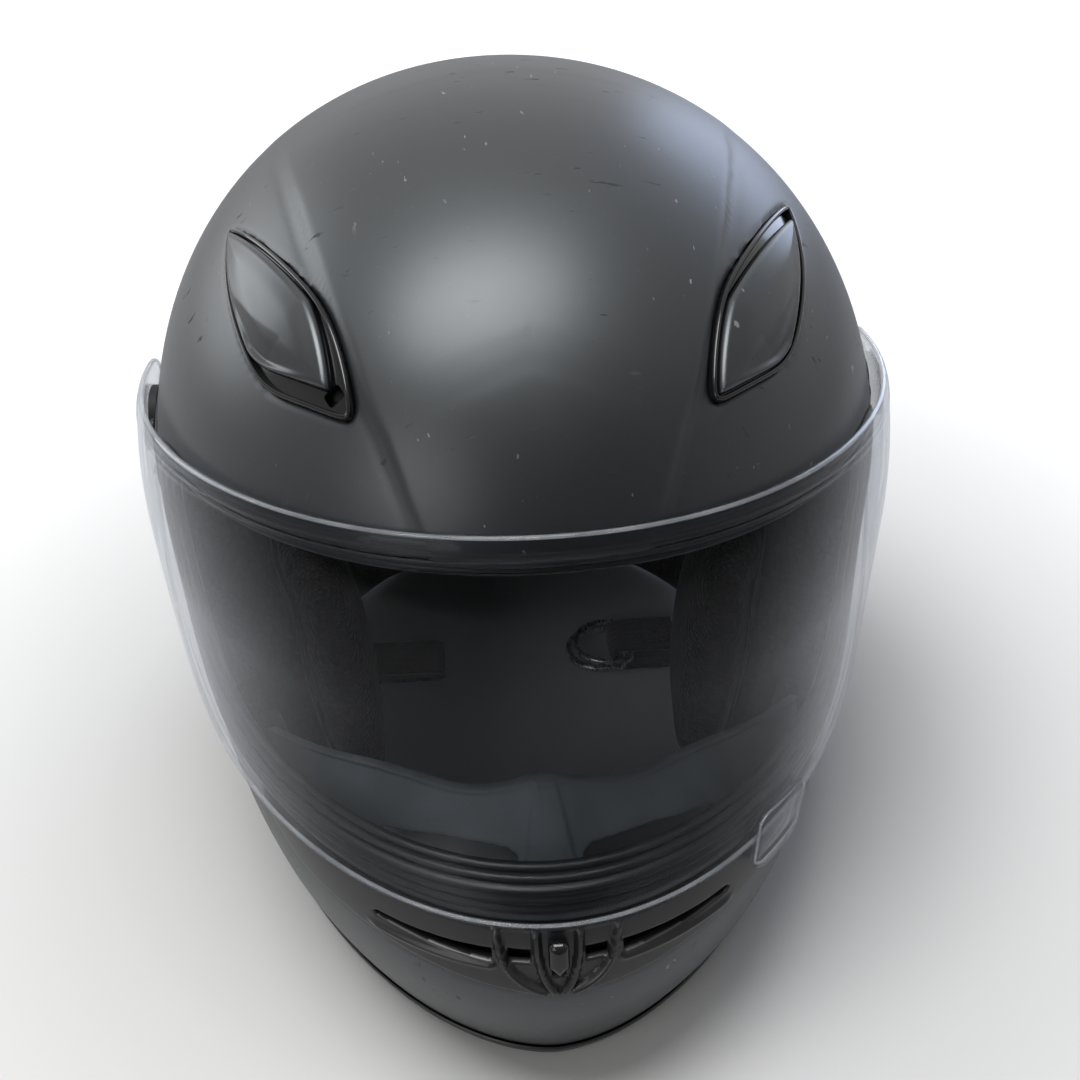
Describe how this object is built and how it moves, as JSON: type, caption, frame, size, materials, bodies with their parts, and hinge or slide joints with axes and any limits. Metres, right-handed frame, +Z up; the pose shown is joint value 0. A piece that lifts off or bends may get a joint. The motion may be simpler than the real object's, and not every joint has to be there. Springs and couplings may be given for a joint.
{
  "type": "motorcycle helmet",
  "caption": "Full-face motorcycle helmet with a hinged clear visor, sliding top and chin vents, padded liner and a double D-ring chin strap.",
  "frame": {"origin": "centre of the bounding box in plan, on the plane that the lower edge stands on", "axes": "+Z up, -Y the way the wearer faces, +X to the wearer's left"},
  "size_m": [0.268, 0.3532, 0.2635],
  "materials": {
    "shell_paint": "matte lacquer",
    "liner_foam": "expanded bead foam",
    "comfort_knit": "brushed knit",
    "inner_plastic": "moulded, fine grain",
    "seal_rubber": "satin rubber",
    "guard_rubber": "grained rubber",
    "visor_clear": "hard-coated clear polycarbonate",
    "steel": "plain",
    "satin_plastic": "satin",
    "gloss_plastic": "polished",
    "vent_paint": "matte lacquer",
    "webbing": "woven"
  },
  "bodies": {
    "shell": {"outer_shell": "shell_paint", "impact_liner": "liner_foam", "chin_bar_liner": "liner_foam", "crown_comfort_liner": "comfort_knit", "cheek_pad_right": "comfort_knit", "cheek_pad_left": "comfort_knit", "cheek_pad_plate_right": "inner_plastic", "cheek_pad_plate_left": "inner_plastic", "neck_roll": "comfort_knit", "lower_edge_trim": "seal_rubber", "eyeport_gasket": "seal_rubber", "breath_guard": "guard_rubber", "visor_base_plate_left": "inner_plastic", "visor_base_plate_right": "inner_plastic", "base_plate_screw_1_left": "steel", "base_plate_screw_1_right": "steel", "base_plate_screw_2_left": "steel", "base_plate_screw_2_right": "steel", "release_spring_left": "steel", "release_spring_right": "steel", "top_vent_bezel_right": "gloss_plastic", "top_vent_bezel_left": "gloss_plastic", "chin_vent_cover": "satin_plastic", "chin_vent_filter": "liner_foam", "rear_exhaust_cover": "satin_plastic", "chin_strap_long": "webbing", "chin_strap_short": "webbing", "strap_anchor_left": "steel", "strap_anchor_right": "steel", "strap_rivet_left": "steel", "strap_rivet_right": "steel", "strap_snap": "satin_plastic"},
    "visor": {"visor": "visor_clear"},
    "top_vent_right": {"top_vent_shutter_right": "vent_paint"},
    "top_vent_left": {"top_vent_shutter_left": "vent_paint"},
    "chin_vent": {"chin_vent_slider": "gloss_plastic", "chin_vent_shutter": "inner_plastic"},
    "release_lever_left": {"visor_release_lever_left": "satin_plastic"},
    "release_lever_right": {"visor_release_lever_right": "satin_plastic"},
    "ring_lower": {"d_ring_lower": "steel"},
    "ring_upper": {"d_ring_upper": "steel"}
  },
  "joints": [
    {"name": "visor_hinge", "type": "hinge", "parent": "shell", "child": "visor", "pos_m": [0, 0.01862, 0.147], "axis": [-1, 0, 0], "range_deg": [0, 50]},
    {"name": "top_vent_right_slide", "type": "hinge", "parent": "shell", "child": "top_vent_right", "pos_m": [0.0216, 0.00496, 0.10282], "axis": [0.7741, 0.1505, 0.6149], "range_deg": [0, 2.73]},
    {"name": "top_vent_left_slide", "type": "hinge", "parent": "shell", "child": "top_vent_left", "pos_m": [-0.0216, 0.00496, 0.10282], "axis": [-0.7741, 0.1505, 0.6149], "range_deg": [0, 2.73]},
    {"name": "chin_vent_slide", "type": "slide", "parent": "shell", "child": "chin_vent", "axis": [0, -0.3473, -0.9378], "range_m": [0, 0.0045]},
    {"name": "release_lever_left_turn", "type": "hinge", "parent": "shell", "child": "release_lever_left", "pos_m": [0.12447, -0.00135, 0.15448], "axis": [0.9943, -0.0645, 0.0852], "range_deg": [0, 15], "stiffness_Nm_per_rad": 0.02},
    {"name": "release_lever_right_turn", "type": "hinge", "parent": "shell", "child": "release_lever_right", "pos_m": [-0.12447, -0.00135, 0.15448], "axis": [0.9943, 0.0645, -0.0852], "range_deg": [0, 15], "stiffness_Nm_per_rad": 0.02},
    {"name": "d_ring_lower_swing", "type": "hinge", "parent": "shell", "child": "ring_lower", "pos_m": [0.046, 0.0356, 0.0074], "axis": [0, 1, 0], "range_deg": [0, 70]},
    {"name": "d_ring_upper_swing", "type": "hinge", "parent": "shell", "child": "ring_upper", "pos_m": [0.049, 0.0356, 0.0112], "axis": [0, 1, 0], "range_deg": [0, 70]}
  ],
  "couplings": [
    {"joint": "d_ring_upper_swing", "follows": "d_ring_lower_swing", "ratio": 1}
  ]
}
